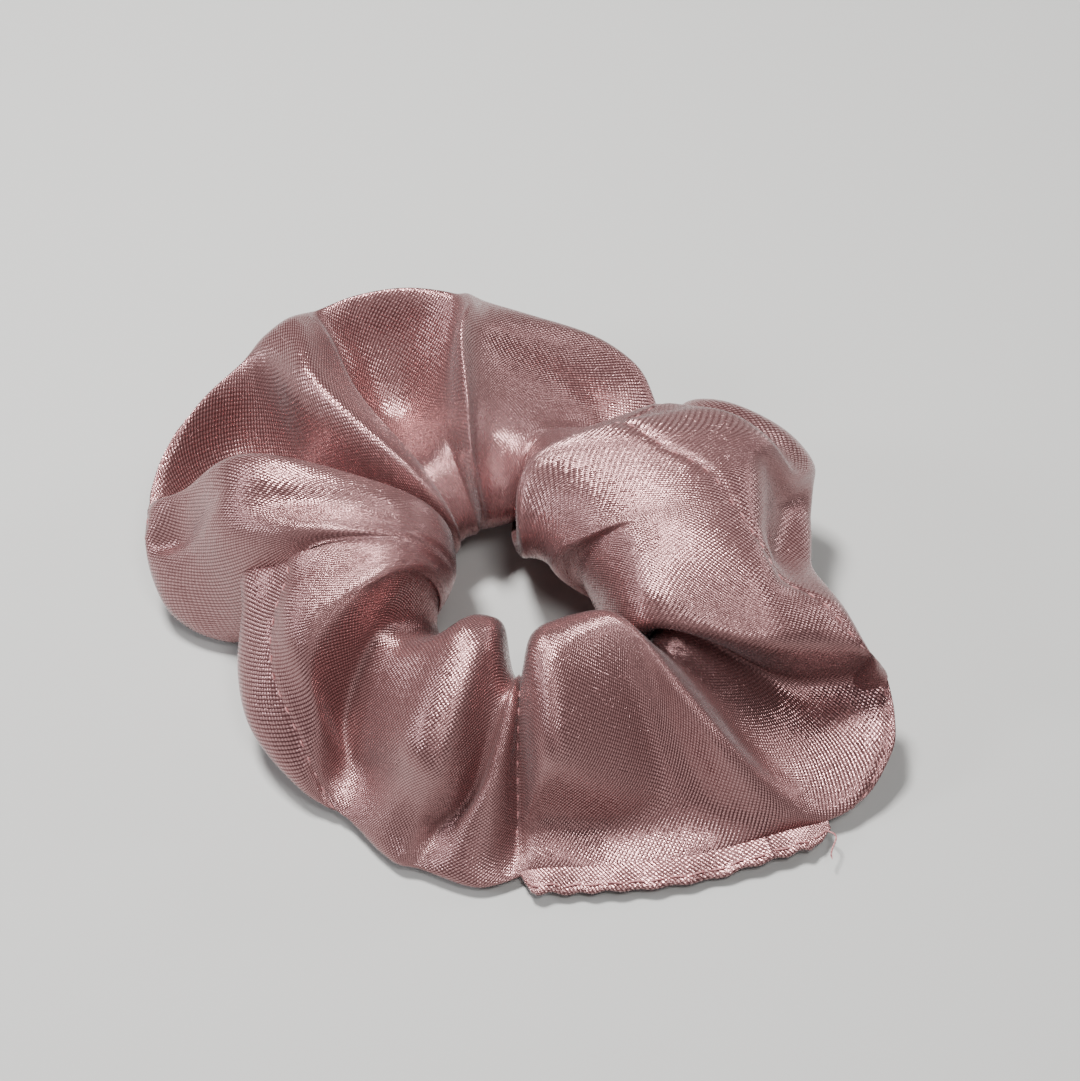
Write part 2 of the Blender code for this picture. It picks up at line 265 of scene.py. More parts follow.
def cover_sections(positions):
    """The tube's cross sections at positions along FOLDS: eight corners each, from the edge over the top."""
    rows = through_rows(np.array(FOLDS, float), positions, ROW_TURN, FOLD_ROUNDING)
    hole_angle, edge_angle, bow, hole_radius = rows.T[:4]
    top_inner, top_middle, top_outer, edge_radius, edge_height = rows.T[4:]
    lower = through_rows(underside_rows(), positions, UNDERSIDE_TURN)
    lower_middle_angle, lower_outer_angle, lower_inner, lower_middle, lower_outer = lower.T

    def corner(share, radius, height):
        angle = hole_angle + (edge_angle - hole_angle) * share + bow * 4 * share * (1 - share)
        return ring_points(angle, radius, height)

    elastic_radius = BAND_RADIUS / MM
    taut = np.clip((23.5 - top_inner) / 4.5, 0, 1)  # 1 in a hollow, where the cloth lies on the elastic
    crown_radius = (hole_radius + 3 + 0.35 * (20 - hole_radius)) * (1 - taut) + (elastic_radius + 0.8) * taut
    middle_radius = (edge_radius + elastic_radius) / 2
    corners = [
        corner(1.0, edge_radius, edge_height),
        corner(OUTER_PLACE, edge_radius - OUTER_INSET, top_outer),
        corner(MIDDLE_PLACE, middle_radius, top_middle),
        corner(CROWN_PLACE, crown_radius, top_inner),
        corner(0.0, hole_radius, (top_inner + lower_inner) / 2),
        corner(LOWER_PLACE, elastic_radius - 1.5 + 0 * edge_radius, lower_inner),
        ring_points(lower_middle_angle, middle_radius, np.maximum(lower_middle, FLOOR_CLEARANCE)),
        ring_points(lower_outer_angle, edge_radius - LOWER_INSET, np.maximum(lower_outer, FLOOR_CLEARANCE)),
    ]
    return np.stack(corners, axis=1)


def section_bodies(positions):
    """Where each section lies along the ring of bodies: 0 at gather 1, 1 at gather 2, and so on."""
    rows = through_rows(np.array(FOLDS, float), positions, ROW_TURN, FOLD_ROUNDING)
    middle = (rows[:, 0] + rows[:, 1]) / 2
    forward = np.maximum.accumulate(middle)
    backward = np.minimum.accumulate(middle[::-1])[::-1]
    return ((forward + backward) / 2 - FIRST_GATHER_DEG) / GATHER_STEP_DEG


def even_positions(count):
    """Positions along FOLDS, evenly spaced on the cloth by the longer of its lines along the strip."""
    dense = np.linspace(0, len(FOLDS), 1600, endpoint=False)
    sections = even_loops(cover_sections(dense), 16)
    steps = np.sort(np.linalg.norm(np.roll(sections, -1, 0) - sections, axis=2), axis=1)
    along = np.concatenate([[0], np.cumsum(steps[:, 6:].mean(axis=1))])
    wanted = np.linspace(0, along[-1], count, endpoint=False)
    return np.interp(wanted, along, np.append(dense, len(FOLDS)))


# ---------------------------------------------------------------- meshes
def grid_faces(along, around, closed_along, closed_around, first=0, flipped=False):
    """Quads of a grid of points, row by row."""
    rows = np.arange(along if closed_along else along - 1)
    columns = np.arange(around if closed_around else around - 1)
    row, column = (a.ravel() for a in np.meshgrid(rows, columns, indexing="ij"))
    next_row, next_column = (row + 1) % along, (column + 1) % around
    corners = [row * around + column, next_row * around + column]
    corners += [next_row * around + next_column, row * around + next_column]
    faces = np.stack(corners, axis=1) + first
    return faces[:, ::-1] if flipped else faces


def new_mesh(name, points, faces):
    mesh = bpy.data.meshes.new(name)
    mesh.from_pydata([tuple(p) for p in points.tolist()], [], faces.tolist())
    mesh.update()
    return mesh


def add_object(name, data, *materials):
    obj = bpy.data.objects.new(name, data)
    bpy.context.scene.collection.objects.link(obj)
    for material in materials:
        data.materials.append(material)
    return obj


def grid_normals(grid):
    """Outward normals of a closed grid."""
    along = np.roll(grid, -1, 0) - np.roll(grid, 1, 0)
    around = np.roll(grid, -1, 1) - np.roll(grid, 1, 1)
    normals = np.cross(along, around)
    return normals / np.maximum(np.linalg.norm(normals, axis=2, keepdims=True), 1e-12)


# ---------------------------------------------------------------- cloth simulation
SIM_SCALE = 10.0  # the cloth solver works in larger units than a scrunchie's millimetres
SIM_FRAMES = 20
SIM_GRAVITY = 0.5
SIM_DISTANCE = 0.006  # between the cloth and the floor, in the solver's units
SIM_FRICTION = 20
HOLD_WEIGHT = 0.3  # how firmly the cloth is held to its laid shape
RIPPLE_PASSES = 3
CLOTH_SETTINGS = {
    "quality": 6,
    "mass": 0.05,
    "tension_stiffness": 15,
    "compression_stiffness": 15,
    "shear_stiffness": 3,
    "bending_stiffness": 0.3,
    "air_damping": 2,
    "pin_stiffness": 5,
}
COLLISION_SETTINGS = {
    "distance_min": SIM_DISTANCE,
    "collision_quality": 3,
    "friction": SIM_FRICTION,
    "use_self_collision": True,
    "self_distance_min": 0.008,
    "self_friction": 5,
}


def flat_floor(name, reach):
    """A square mesh at the floor's height, reach to each side of the middle."""
    corners = np.array([[-1, -1, 0], [1, -1, 0], [1, 1, 0], [-1, 1, 0]], float) * reach
    return new_mesh(name, corners, np.array([[0, 1, 2, 3]]))


def add_floor_collider():
    floor = add_object("simulation_floor", flat_floor("simulation_floor", 2))
    floor.modifiers.new("Collision", "COLLISION")
    floor.collision.thickness_outer = SIM_DISTANCE
    floor.collision.cloth_friction = SIM_FRICTION
    return floor


def flat_tube(length, width):
    """The unstretched strip as a flat tube on edge in a ring, which gives the springs their true lengths."""
    turn = np.arange(GRID_ALONG) / GRID_ALONG * 2 * math.pi
    share = np.arange(GRID_ROUND) / GRID_ROUND
    height = width / 4 * np.where(share < 0.5, 1 - 4 * share, 4 * share - 3)
    radius = length / (2 * math.pi) + np.where(share < 0.5, 0.2, -0.2) * MM
    points = np.empty((GRID_ALONG, GRID_ROUND, 3))
    points[:, :, 0] = np.cos(turn)[:, None] * radius
    points[:, :, 1] = np.sin(turn)[:, None] * radius
    points[:, :, 2] = height
    return points


def relaxed(grid):
    """The cover after the satin has drawn towards its size as cut, held softly to its laid shape."""
    faces = grid_faces(GRID_ALONG, GRID_ROUND, True, True)
    mesh = new_mesh("cover_simulation", grid.reshape(-1, 3) * SIM_SCALE, faces)
    cloth = add_object("cover_simulation", mesh)
    cloth.shape_key_add(name="Basis")
    cut = cloth.shape_key_add(name="cut")
    cut_points = flat_tube(STRIP_LENGTH, STRIP_WIDTH) * SIM_SCALE
    cut.data.foreach_set("co", cut_points.astype(np.float32).ravel())
    cut.value = 0.0
    hold = cloth.vertex_groups.new(name="hold")
    hold.add(list(range(len(mesh.vertices))), HOLD_WEIGHT, "REPLACE")
    modifier = cloth.modifiers.new("Cloth", "CLOTH")
    settings = modifier.settings
    for name, value in CLOTH_SETTINGS.items():
        setattr(settings, name, value)
    settings.vertex_group_mass = hold.name
    settings.rest_shape_key = cut
    settings.effector_weights.gravity = SIM_GRAVITY
    for name, value in COLLISION_SETTINGS.items():
        setattr(modifier.collision_settings, name, value)
    floor = add_floor_collider()
    scene = bpy.context.scene
    modifier.point_cache.frame_start = 1
    modifier.point_cache.frame_end = SIM_FRAMES
    scene.frame_start, scene.frame_end = 1, SIM_FRAMES
    for number in range(1, SIM_FRAMES + 1):
        scene.frame_set(number)
    result = cloth.evaluated_get(bpy.context.evaluated_depsgraph_get()).to_mesh()
    points = np.empty(len(result.vertices) * 3, np.float32)
    result.vertices.foreach_get("co", points)
    for obj in (cloth, floor):
        bpy.data.objects.remove(obj, do_unlink=True)
    scene.frame_set(1)
    return points.reshape(grid.shape).astype(float) / SIM_SCALE


def softened(grid):
    """A closed grid with its finest ripples averaged away."""
    for _ in range(RIPPLE_PASSES):
        for axis in (0, 1):
            grid = (np.roll(grid, 1, axis) + 2 * grid + np.roll(grid, -1, axis)) / 4
    return grid


# ---------------------------------------------------------------- materials
def node_tree(name):
    material = bpy.data.materials.new(name)
    material.use_nodes = True
    return material, material.node_tree.nodes, material.node_tree.links


# the darker colour of each pair is painted shade in the gaps and grooves of the weave, twist or braid; the
# lighter one is the yarn's own colour
SATIN_LIGHT = (0.495, 0.272, 0.27, 1.0)
SATIN_DARK = (0.13, 0.047, 0.048, 1.0)
THREAD_LIGHT = (0.46, 0.20, 0.20, 1.0)
THREAD_DARK = (0.25, 0.08, 0.085, 1.0)
ELASTIC_LIGHT = (0.86, 0.85, 0.82, 1.0)
ELASTIC_DARK = (0.62, 0.60, 0.56, 1.0)
RIB_PITCH_MM = 0.38
RIB_TURN_DEG = 32.0
FLOAT_PITCH_MM = 0.50
FLOAT_TURN_DEG = -52.0
WAVE_PERIOD = math.pi / 10  # of a band of Blender's wave texture at scale 1
WEAVE_DEPTH = 0.09 * MM
FLOAT_LEAN = 0.13  # how far single floats lean from the cloth's own normal


def add_node(nodes, kind, **settings):
    node = nodes.new(kind)
    for name, value in settings.items():
        setattr(node, name, value)
    return node


def bands(nodes, links, coordinates, turn_deg, pitch_mm, distortion):
    """Even bands across flat coordinates in metres, turned from the strip's length."""
    mapping = nodes.new("ShaderNodeMapping")
    mapping.inputs["Rotation"].default_value = (0.0, 0.0, math.radians(turn_deg))
    mapping.inputs["Scale"].default_value = (1 / MM, 1 / MM, 1.0)
    wave = add_node(nodes, "ShaderNodeTexWave", wave_type="BANDS", bands_direction="X")
    wave.inputs["Scale"].default_value = WAVE_PERIOD / pitch_mm
    wave.inputs["Distortion"].default_value = distortion
    wave.inputs["Detail"].default_value = 1.0
    links.new(coordinates, mapping.inputs["Vector"])
    links.new(mapping.outputs["Vector"], wave.inputs["Vector"])
    return wave.outputs["Fac"]


def arithmetic(nodes, links, operation, first, second):
    node = add_node(nodes, "ShaderNodeMath", operation=operation)
    for socket, value in zip(node.inputs, (first, second)):
        if isinstance(value, float):
            socket.default_value = value
        else:
            links.new(value, socket)
    return node.outputs["Value"]


def colour_mix(nodes, links, blend_type, share, first, second):
    node = add_node(nodes, "ShaderNodeMix", data_type="RGBA", blend_type=blend_type)
    for name, value in (("Factor", share), ("A", first), ("B", second)):
        socket = node.inputs[name]
        if isinstance(value, (float, tuple)):
            socket.default_value = value
        else:
            links.new(value, socket)
    return node.outputs["Result"]


def tilted_normal(nodes, links, chance_colour):
    """The surface normal, leant a random way and amount for each float."""
    centred = add_node(nodes, "ShaderNodeVectorMath", operation="SUBTRACT")
    centred.inputs[1].default_value = (0.5, 0.5, 0.5)
    links.new(chance_colour, centred.inputs[0])
    lean = add_node(nodes, "ShaderNodeVectorMath", operation="SCALE")
    lean.inputs["Scale"].default_value = FLOAT_LEAN
    links.new(centred.outputs["Vector"], lean.inputs[0])
    total = add_node(nodes, "ShaderNodeVectorMath", operation="ADD")
    links.new(nodes.new("ShaderNodeNewGeometry").outputs["Normal"], total.inputs[0])
    links.new(lean.outputs["Vector"], total.inputs[1])
    unit = add_node(nodes, "ShaderNodeVectorMath", operation="NORMALIZE")
    links.new(total.outputs["Vector"], unit.inputs[0])
    return unit.outputs["Vector"]


def satin_material():
    """Polyester satin: long floats in fine slanting ribs, each of which catches the light by itself."""
    material, nodes, links = node_tree("satin")
    shader = nodes["Principled BSDF"]
    shader.inputs["Metallic"].default_value = 0.68
    shader.inputs["Specular IOR Level"].default_value = 0.9
    shader.inputs["Anisotropic"].default_value = 0.5
    shader.inputs["Sheen Weight"].default_value = 0.10
    shader.inputs["Sheen Roughness"].default_value = 0.35
    shader.inputs["Sheen Tint"].default_value = (0.95, 0.88, 0.90, 1.0)
    uv = add_node(nodes, "ShaderNodeUVMap", uv_map="strip").outputs["UV"]
    tangent = add_node(nodes, "ShaderNodeTangent", direction_type="UV_MAP", uv_map="strip")
    links.new(tangent.outputs["Tangent"], shader.inputs["Tangent"])
    ribs = bands(nodes, links, uv, RIB_TURN_DEG, RIB_PITCH_MM, 0.35)
    floats = bands(nodes, links, uv, FLOAT_TURN_DEG, FLOAT_PITCH_MM, 0.6)
    # each float lies a little differently
    size = nodes.new("ShaderNodeMapping")
    size.inputs["Rotation"].default_value = (0.0, 0.0, math.radians(RIB_TURN_DEG))
    size.inputs["Scale"].default_value = (1 / (RIB_PITCH_MM * MM), 0.7 / (RIB_PITCH_MM * MM), 1.0)
    links.new(uv, size.inputs["Vector"])
    lie = add_node(nodes, "ShaderNodeTexVoronoi", feature="F1")
    lie.inputs["Scale"].default_value = 1.0
    links.new(size.outputs["Vector"], lie.inputs["Vector"])
    uneven = add_node(nodes, "ShaderNodeSeparateColor")
    links.new(lie.outputs["Color"], uneven.inputs["Color"])
    chance = uneven.outputs["Red"]
    weave = arithmetic(nodes, links, "MULTIPLY", ribs, arithmetic(nodes, links, "ADD", floats, 0.45))
    height = arithmetic(nodes, links, "ADD", weave, arithmetic(nodes, links, "MULTIPLY", chance, 0.5))
    bump = nodes.new("ShaderNodeBump")
    bump.inputs["Strength"].default_value = 0.42
    bump.inputs["Distance"].default_value = WEAVE_DEPTH
    links.new(height, bump.inputs["Height"])
    links.new(tilted_normal(nodes, links, lie.outputs["Color"]), bump.inputs["Normal"])
    links.new(bump.outputs["Normal"], shader.inputs["Normal"])
    roughness = arithmetic(nodes, links, "MULTIPLY", chance, 0.14)
    links.new(arithmetic(nodes, links, "ADD", roughness, 0.155), shader.inputs["Roughness"])
    # painted shade: the weave's low gaps are coloured SATIN_DARK and its raised floats SATIN_LIGHT
    weave_shade = colour_mix(nodes, links, "MIX", weave, SATIN_DARK, SATIN_LIGHT)
    cloud = nodes.new("ShaderNodeTexNoise")
    cloud.inputs["Scale"].default_value = 55.0
    cloud.inputs["Detail"].default_value = 2.0
    place = nodes.new("ShaderNodeTexCoord").outputs["Object"]
    links.new(place, cloud.inputs["Vector"])
    # random mottling of the dye, multiplied over the painted shade of the weave
    mottled_weave_shade = colour_mix(nodes, links, "MULTIPLY", cloud.outputs["Fac"], weave_shade, (0.90, 0.86, 0.87, 1.0))
    links.new(mottled_weave_shade, shader.inputs["Base Color"])
    return material


def painted_shade_and_relief_from_ribs(nodes, links, ribs, dark, light, strength, depth):
    """Colour and relief that both follow the same ribs; the colour is painted shade, darker in the grooves
    between ribs.
    """
    shader = nodes["Principled BSDF"]
    # painted shade: dark in the grooves between ribs, light on the ribs
    links.new(colour_mix(nodes, links, "MIX", ribs, dark, light), shader.inputs["Base Color"])
    bump = nodes.new("ShaderNodeBump")
    bump.inputs["Strength"].default_value = strength
    bump.inputs["Distance"].default_value = depth
    links.new(ribs, bump.inputs["Height"])
    links.new(bump.outputs["Normal"], shader.inputs["Normal"])


def thread_material():
    """Spun polyester thread with its twist."""
    material, nodes, links = node_tree("thread")
    shader = nodes["Principled BSDF"]
    shader.inputs["Roughness"].default_value = 0.5
    shader.inputs["Sheen Weight"].default_value = 0.3
    coordinates = nodes.new("ShaderNodeTexCoord")
    twist = nodes.new("ShaderNodeTexWave")
    twist.bands_direction = "DIAGONAL"
    twist.inputs["Scale"].default_value = 900.0
    links.new(coordinates.outputs["Object"], twist.inputs["Vector"])
    # painted shade in the grooves of the thread's twist
    painted_shade_and_relief_from_ribs(nodes, links, twist.outputs["Fac"], THREAD_DARK, THREAD_LIGHT, 0.4, 0.05 * MM)
    return material


def elastic_material():
    """Braided elastic: off-white matt yarn in fine lengthwise ribs."""
    material, nodes, links = node_tree("elastic")
    shader = nodes["Principled BSDF"]
    shader.inputs["Roughness"].default_value = 0.8
    shader.inputs["Sheen Weight"].default_value = 0.2
    uv = nodes.new("ShaderNodeUVMap")
    uv.uv_map = "strip"
    scaled = nodes.new("ShaderNodeMapping")
    scaled.inputs["Scale"].default_value = (1 / MM, 1 / MM, 1.0)
    links.new(uv.outputs["UV"], scaled.inputs["Vector"])
    braid = nodes.new("ShaderNodeTexWave")
    braid.bands_direction = "DIAGONAL"
    braid.inputs["Scale"].default_value = 0.45
    braid.inputs["Distortion"].default_value = 1.5
    links.new(scaled.outputs["Vector"], braid.inputs["Vector"])
    # painted shade in the grooves of the elastic's braid
    painted_shade_and_relief_from_ribs(nodes, links, braid.outputs["Fac"], ELASTIC_DARK, ELASTIC_LIGHT, 0.6, 0.15 * MM)
    return material


# ---------------------------------------------------------------- bodies of the ring
def body_name(number, side):
    """Body number 0 to 8 along the ring; the one opposite the first is in two halves."""
    gather = number % GATHER_COUNT + 1
    if gather == GATHER_COUNT // 2 + 1:
        return f"gather_{gather}_{side}"
    return f"gather_{gather}"


def span_bodies(span):
    """The two bodies that a span of the ring lies between."""
    side = "right" if span < GATHER_COUNT // 2 else "left"
    return body_name(span, side), body_name(span + 1, side)


def blend_on_span(piece, shares):
    """Bakes the piece's placing into its mesh. shares, each vertex's place in the span, is not used."""
    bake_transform(piece)


# ---------------------------------------------------------------- the cover's pieces
SIMULATED_AT_EDGE = 0.7  # how much of the simulated shape is kept at the tube's outer edge
SIMULATED_AT_HOLE = 0.1  # and at the hole, where the real cloth lies in fewer, broader folds
LOWEST_CLOTH = 0.2 * MM
SETTLING_HEIGHT = 12.0 * MM  # cloth below this height is let down on to the floor
SEAM_CREASE_DEPTH = 0.3 * MM
SEAM_CREASE_WIDTH = 0.6 * MM
SEAM_PUCKER = 0.05 * MM
SEAM_PUCKER_REACH = 1.8 * MM
SEAM_PUCKER_LENGTH = 3.6 * MM
# the long seam's place round the tube, 0 at the outer edge and 0.5 at the hole, by place along FOLDS
LONG_SEAM = (
    (0, -0.03),
    (7, -0.02),
    (8.5, 0.015),
    (11, 0.02),
    (12.3, 0.06),
    (13.5, 0.13),
    (14.5, 0.20),
    (15.6, 0.25),
    (17.5, 0.23),
    (19, 0.10),
    (20.5, -0.02),
    (22, -0.06),
    (33, -0.06),
    (35, 0.01),
    (39, 0.0),
    (41, -0.06),
    (44, -0.03),
    (46, 0.10),
    (48, 0.11),
    (49.5, 0.09),
    (50.5, 0.04),
    (52, -0.02),
    (59, -0.03),
)


class Cover:
    """The finished cloth as a fine grid, with what is needed to lay seams and stitches along it."""

    def __init__(self):
        positions = even_positions(GRID_ALONG)
        grid = even_loops(cover_sections(positions), GRID_ROUND)
        toward_hole = (1 - np.cos(np.arange(GRID_ROUND) / GRID_ROUND * 2 * math.pi)) / 2
        kept = SIMULATED_AT_EDGE + (SIMULATED_AT_HOLE - SIMULATED_AT_EDGE) * toward_hole
        grid = grid + softened(relaxed(grid) - grid) * kept[None, :, None]
        self.grid = refined(refined(grid, REFINE, 0), REFINE, 1)
        self.along, self.around = self.grid.shape[:2]
        index = np.arange(self.along + 1) / REFINE
        self.positions = np.interp(index, np.arange(GRID_ALONG + 1), np.append(positions, len(FOLDS)))
        self.bodies = section_bodies(np.minimum(self.positions, len(FOLDS) - 1e-6))
        seam = np.array(LONG_SEAM)
        self.seam = np.interp(self.positions[:-1], seam[:, 0], seam[:, 1]) * self.around
        self.press_seam()
        height = self.grid[:, :, 2]
        settling = (height.min() - LOWEST_CLOTH) * np.clip(1 - height / SETTLING_HEIGHT, 0, 1)
        self.grid[:, :, 2] = np.maximum(height - settling, LOWEST_CLOTH)
        self.normals = grid_normals(self.grid)
        self.starts = [int(np.argmin(np.abs(self.bodies - number))) for number in range(GATHER_COUNT + 1)]
        self.starts[0], self.starts[-1] = 0, self.along
        # whole numbers exactly where spans meet
        self.bodies = np.interp(self.bodies, self.bodies[self.starts], np.arange(GATHER_COUNT + 1))
        along = np.roll(self.grid, -1, 0) - self.grid
        around = np.roll(self.grid, -1, 1) - self.grid
        self.areas = np.linalg.norm(np.cross(along, around), axis=2).sum(axis=1)

    def press_seam(self):
        """Sinks the long seam into the cloth, and puckers the cloth beside it."""
        spacing = STRIP_WIDTH / self.around
        away = (np.arange(self.around)[None, :] - self.seam[:, None] + self.around / 2) % self.around
        distance = np.abs(away - self.around / 2) * spacing
        place = np.arange(self.along) / self.along * STRIP_LENGTH
        crease = -SEAM_CREASE_DEPTH * np.exp(-((distance / SEAM_CREASE_WIDTH) ** 2))
        turns = place / SEAM_PUCKER_LENGTH
        wave = np.sin(turns * 2 * math.pi) + 0.6 * np.sin(turns * 3.7)
        pucker = SEAM_PUCKER * wave[:, None] * np.exp(-((distance / SEAM_PUCKER_REACH) ** 2))
        self.grid = self.grid + grid_normals(self.grid) * (crease + pucker)[:, :, None]

    def at(self, row, column):
        """Points and normals at fractional rows and columns of the grid."""
        found = []
        for values in (self.grid, self.normals):
            low_row, low_column = np.floor(row).astype(int), np.floor(column).astype(int)
            row_share, column_share = (row - low_row)[:, None], (column - low_column)[:, None]
            total = 0
            for row_step in (0, 1):
                for column_step in (0, 1):
                    near_row = (low_row + row_step) % self.along
                    near_column = (low_column + column_step) % self.around
                    corner = values[near_row, near_column]
                    weight = row_share if row_step else 1 - row_share
                    weight = weight * (column_share if column_step else 1 - column_share)
                    total = total + corner * weight
            found.append(total)
        points, normals = found
        return points, normals / np.linalg.norm(normals, axis=1, keepdims=True)

    def row_of(self, position):
        """The grid row at a place along FOLDS."""
        return float(np.interp(position, self.positions, np.arange(self.along + 1)))

    def body_at(self, row):
        return np.interp(row, np.arange(self.along + 1), self.bodies)

    def span_ranges(self, first, last):
        """Cuts rows first to last where the spans of the ring meet: (span, first, last) of each part."""
        parts = []
        for span in range(GATHER_COUNT):
            low, high = max(first, self.starts[span]), min(last, self.starts[span + 1])
            if high - low > 0.5:
                parts.append((span, low, high))
        return parts


def cover_nodes(span):
    bodies = frame["record"]["behaviour"]["bodies"]
    names = [name for body in span_bodies(span) for name in bodies[body]]
    return [name for name in names if name.startswith("satin_cover")]


def cover_piece(cover, span, satin):
    """One span of the cover as a thin closed shell, with the strip's own flat coordinates."""
    first, last = cover.starts[span], cover.starts[span + 1]
    around = cover.around
    rows = np.arange(first, last + 1) % cover.along
    outer, out = cover.grid[rows], cover.normals[rows]
    inner = outer - out * CLOTH_THICKNESS
    count = len(rows) * around
    column = np.arange(around)
    following = (column + 1) % around
    end = (len(rows) - 1) * around
    walls = (
        grid_faces(len(rows), around, False, True),
        grid_faces(len(rows), around, False, True, first=count, flipped=True),
    )
    rims = (
        np.stack([column, following, following + count, column + count], axis=1),
        np.stack([end + following, end + column, end + column + count, end + following + count], axis=1),
    )
    faces = np.concatenate(walls + rims)
    points = np.concatenate([outer.reshape(-1, 3), inner.reshape(-1, 3)])
    mesh = new_mesh(f"satin_cover_{span + 1}", points, faces)
    mesh.polygons.foreach_set("use_smooth", np.ones(len(faces), bool))
    add_strip_coordinates(cover, mesh, faces % count, first)
    corner_normals = np.concatenate([out.reshape(-1, 3), -out.reshape(-1, 3)])[faces]
    corner_normals[len(walls[0]) * 2 :] = 0.0
    mesh.normals_split_custom_set(corner_normals.reshape(-1, 3).tolist())
    piece = add_object(mesh.name, mesh, satin)
    shares = np.repeat(cover.bodies[first : last + 1] - span, around)
    blend_on_span(piece, np.concatenate([shares, shares]))
    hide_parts(*cover_nodes(span))


def add_strip_coordinates(cover, mesh, corners, first):
    """Texture coordinates: metres along and across the satin as cut. corners is each face's grid points."""
    along = first + corners // cover.around
    across = (corners % cover.around).astype(float)
    wraps = (across.max(axis=1) - across.min(axis=1)) > cover.around / 2
    across[wraps] = np.where(across[wraps] < cover.around / 2, across[wraps] + cover.around, across[wraps])
    flat = np.stack([along / cover.along * STRIP_LENGTH, across / cover.around * STRIP_WIDTH], axis=2)
    layer = mesh.uv_layers.new(name="strip")
    layer.data.foreach_set("uv", flat.astype(np.float32).ravel())


# ---------------------------------------------------------------- sewing
LIP_START = 0.25  # places along FOLDS that the closing lip lies between
LIP_END = 7.0
LIP_WIDTH = 3.6 * MM
LIP_THICKNESS = 0.55 * MM
LIP_STEP = 0.35 * MM
LIP_ACROSS = 9
LIP_SMOOTHING = 31
LIP_LOWEST = 0.15 * MM
LIP_WAVES = (  # the lip's pucker: the height of each wave, its length over two pi, and its phase
    (0.20, 2.3, 0.0),
    (0.16, 1.13, 1.0),
    (0.08, 0.61, 0.0),
)
STITCH_DIP = 0.54  # how far the topstitching presses the lip together,
STITCH_DIP_PLACE = 0.62  # where across the lip,
STITCH_DIP_WIDTH = 0.12  # and over what share of its width
THREAD_RADIUS = 0.17 * MM
TOPSTITCH_INSET = 1.1 * MM
TOPSTITCH_LENGTH = 2.3 * MM
TOPSTITCH_GAP = 0.7 * MM
SEAM_STITCH_LENGTH = 1.1 * MM
SEAM_STITCH_GAP = 1.5 * MM
TAIL_LENGTH = 4.5 * MM


def tube(path, radius, sides=6):
    """Points and faces of a round thread along a path, thinner and closed at both ends."""
    path = np.asarray(path)
    tangent = np.gradient(path, axis=0)
    tangent /= np.linalg.norm(tangent, axis=1, keepdims=True)
    across = np.cross(tangent, [0.0, 0.0, 1.0])
    across /= np.maximum(np.linalg.norm(across, axis=1, keepdims=True), 1e-9)
    up = np.cross(across, tangent)
    turn = np.arange(sides) / sides * 2 * math.pi
    width = np.full(len(path), radius)
    width[0] = width[-1] = radius * 0.5
    ring = across[:, None] * np.cos(turn)[None, :, None] + up[:, None] * np.sin(turn)[None, :, None]
    points = path[:, None] + ring * width[:, None, None]
    faces = grid_faces(len(path), sides, False, True, flipped=True).tolist()
    last = (len(path) - 1) * sides
    faces.append(list(range(sides)))
    faces.append([last + side for side in reversed(range(sides))])
    return points.reshape(-1, 3), faces


def join_tubes(tubes):
    points, faces, total = [], [], 0
    for tube_points, tube_faces in tubes:
        points.append(tube_points)
        faces.extend([[corner + total for corner in face] for face in tube_faces])
        total += len(tube_points)
    return np.concatenate(points), faces


def thread_piece(name, span, tubes, shares, thread, replaced):
    """A row of stitches as one piece. shares holds each stitch's place in its span."""
    points, faces = join_tubes(tubes)
    mesh = bpy.data.meshes.new(name)
    mesh.from_pydata(points.tolist(), [], faces)
    mesh.polygons.foreach_set("use_smooth", np.ones(len(faces), bool))
    piece = add_object(name, mesh, thread)
    if span is None:
        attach(piece, body_name(0, "right"))
    else:
        weights = np.concatenate([np.full(len(t[0]), share) for t, share in zip(tubes, shares)])
        blend_on_span(piece, weights)
    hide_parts(replaced)


def stitches_along(points, normals, stitch, gap, lift):
    """Short threads along a path, each arched over the cloth and sunk at both ends."""
    length = np.concatenate([[0], np.cumsum(np.linalg.norm(np.diff(points, axis=0), axis=1))])
    found = []
    start = gap / 2
    while start + stitch < length[-1]:
        wanted = np.linspace(start, start + stitch, 6)
        path = np.stack([np.interp(wanted, length, points[:, axis]) for axis in range(3)], axis=1)
        out = np.stack([np.interp(wanted, length, normals[:, axis]) for axis in range(3)], axis=1)
        arch = lift * np.sin(np.linspace(0, math.pi, 6)) - lift * 0.35
        middle = float(np.interp(start + stitch / 2, length, np.arange(len(length))))
        found.append((path + out * arch[:, None], middle / (len(length) - 1)))
        start += stitch + gap
    return found


def lip_frame(cover, row):
    """Where the lip joins the tube's outer edge, the way it points, and the way up."""
    edge, _ = cover.at(row, np.full(len(row), 0.0))
    run = np.gradient(edge, axis=0)
    run[:, 2] = 0.0
    away = np.cross(run, [0.0, 0.0, 1.0])
    spread = np.ones(LIP_SMOOTHING) / LIP_SMOOTHING
    padded = np.pad(away, ((LIP_SMOOTHING // 2, LIP_SMOOTHING // 2), (0, 0)), "edge")
    away = np.stack([np.convolve(padded[:, axis], spread, "valid") for axis in range(3)], axis=1)
    away /= np.linalg.norm(away, axis=1, keepdims=True)
    up = np.zeros_like(away)
    up[:, 2] = 1.0
    return edge, away, up


def lip_wave(cover, row):
    """The lip's pucker: how far it waves up and down, for each row."""
    place = row / cover.along * STRIP_LENGTH / MM
    return sum(height * np.sin(place / length + phase) for height, length, phase in LIP_WAVES) * MM


def lip_width(cover, row):
    """The lip's width, which tapers away at both ends."""
    start, end = cover.row_of(LIP_START), cover.row_of(LIP_END)
    ends = np.clip(np.minimum(row - start, end - row) / (0.015 * cover.along), 0, 1)
    return LIP_WIDTH * (0.35 + 0.65 * np.sin(ends * math.pi / 2)) * (1 + 0.05 * np.sin(row * 0.9))


